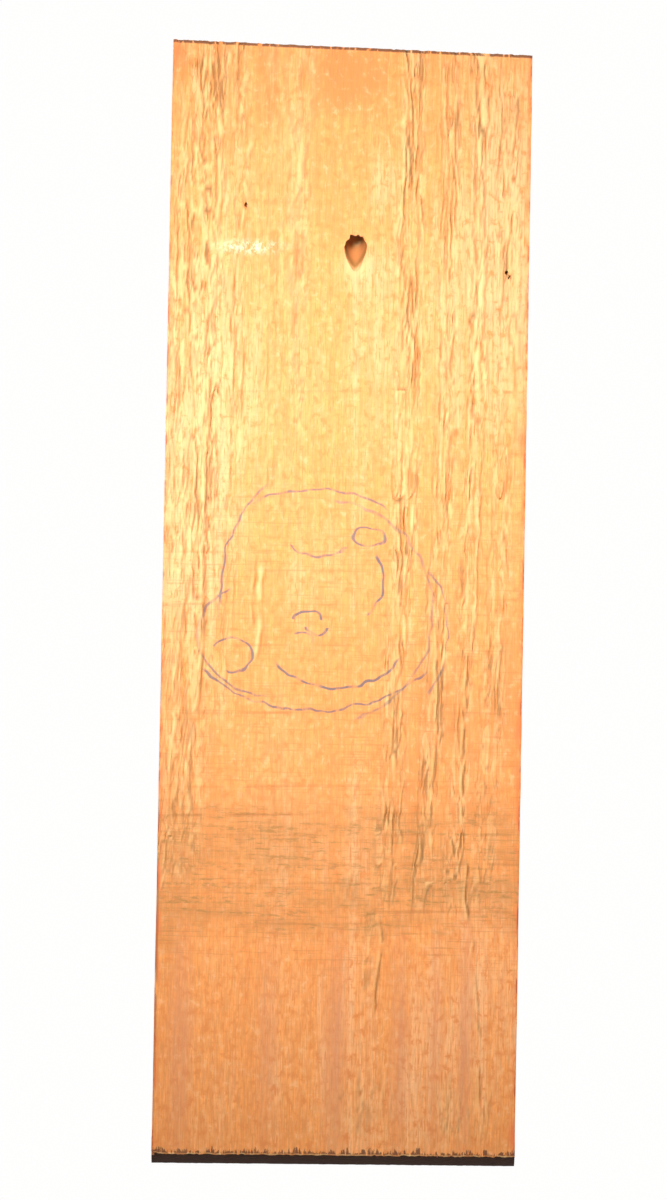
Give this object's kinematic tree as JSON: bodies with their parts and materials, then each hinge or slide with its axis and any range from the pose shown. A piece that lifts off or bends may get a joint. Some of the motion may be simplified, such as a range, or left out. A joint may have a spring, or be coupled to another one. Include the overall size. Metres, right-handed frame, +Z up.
{
  "type": "wooden award plaque",
  "caption": "Narrow wooden award plaque with a wreath medallion and a blank brass plate on its front, and a slanted blind hole in its raw back for hanging it on a nail.",
  "frame": {"origin": "middle of the hanging hole's mouth, on the plaque's flat back", "axes": "+Z up the plaque as it hangs, +Y out of the back towards the wall, the decorated front faces -Y"},
  "size_m": [0.1142, 0.0266, 0.3588],
  "materials": {
    "board_wood": "raw sawn softwood with a dark stained front and edges",
    "wreath_brass": "antiqued cast brass, dark in the hollows and rubbed bright on the leaves",
    "disc_brass": "struck brass, bright",
    "plate_brass": "brushed brass with a polished edge",
    "pin_brass": "polished brass",
    "screw_steel": "zinc plated",
    "pad_foam": "white closed-cell foam tape"
  },
  "bodies": {
    "root": {"board": "board_wood", "medallion_holder": "wreath_brass", "adhesive_pad": "pad_foam", "medallion_disc": "disc_brass", "holder_screw_1": "screw_steel", "holder_screw_2": "screw_steel", "name_plate": "plate_brass", "plate_pin_1": "pin_brass", "plate_pin_2": "pin_brass", "plate_pin_3": "pin_brass", "plate_pin_4": "pin_brass"}
  },
  "joints": []
}
